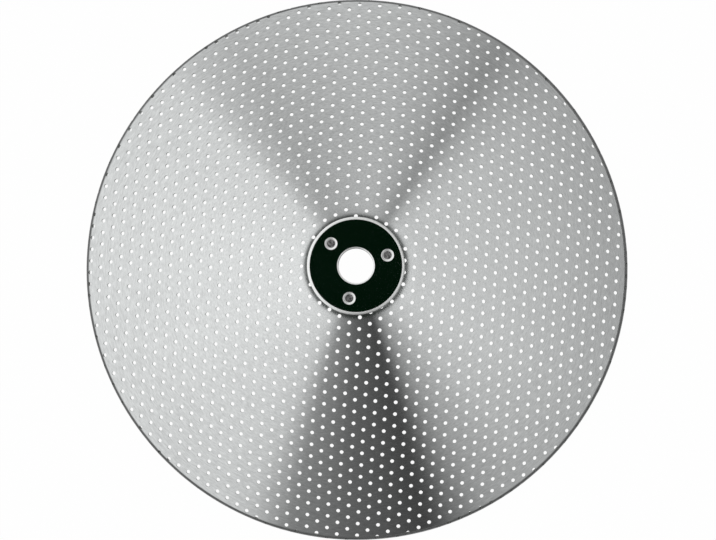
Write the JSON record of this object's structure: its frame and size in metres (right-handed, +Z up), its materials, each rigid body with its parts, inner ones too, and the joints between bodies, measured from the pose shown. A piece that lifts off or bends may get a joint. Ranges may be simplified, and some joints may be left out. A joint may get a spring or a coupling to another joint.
{
  "type": "food mill sieve disc",
  "caption": "Shallow cone of finely perforated stainless sheet with a turned-down edge and a welded hub washer, through which soft food is pressed and sieved.",
  "frame": {"origin": "under the middle of the disc, on the surface that the foot of its turned-down edge stands on", "axes": "+Z up through the bore, the way the hub washer faces; X and Y lie across the disc"},
  "size_m": [0.14, 0.14, 0.0133],
  "materials": {
    "sieve_sheet": "bright rolled stainless sheet with fine circular forming marks",
    "hub_washer": "mirror-polished stainless steel with raw weld dimples"
  },
  "bodies": {
    "root": {"sieve_sheet": "sieve_sheet", "hub_washer": "hub_washer"}
  },
  "joints": []
}
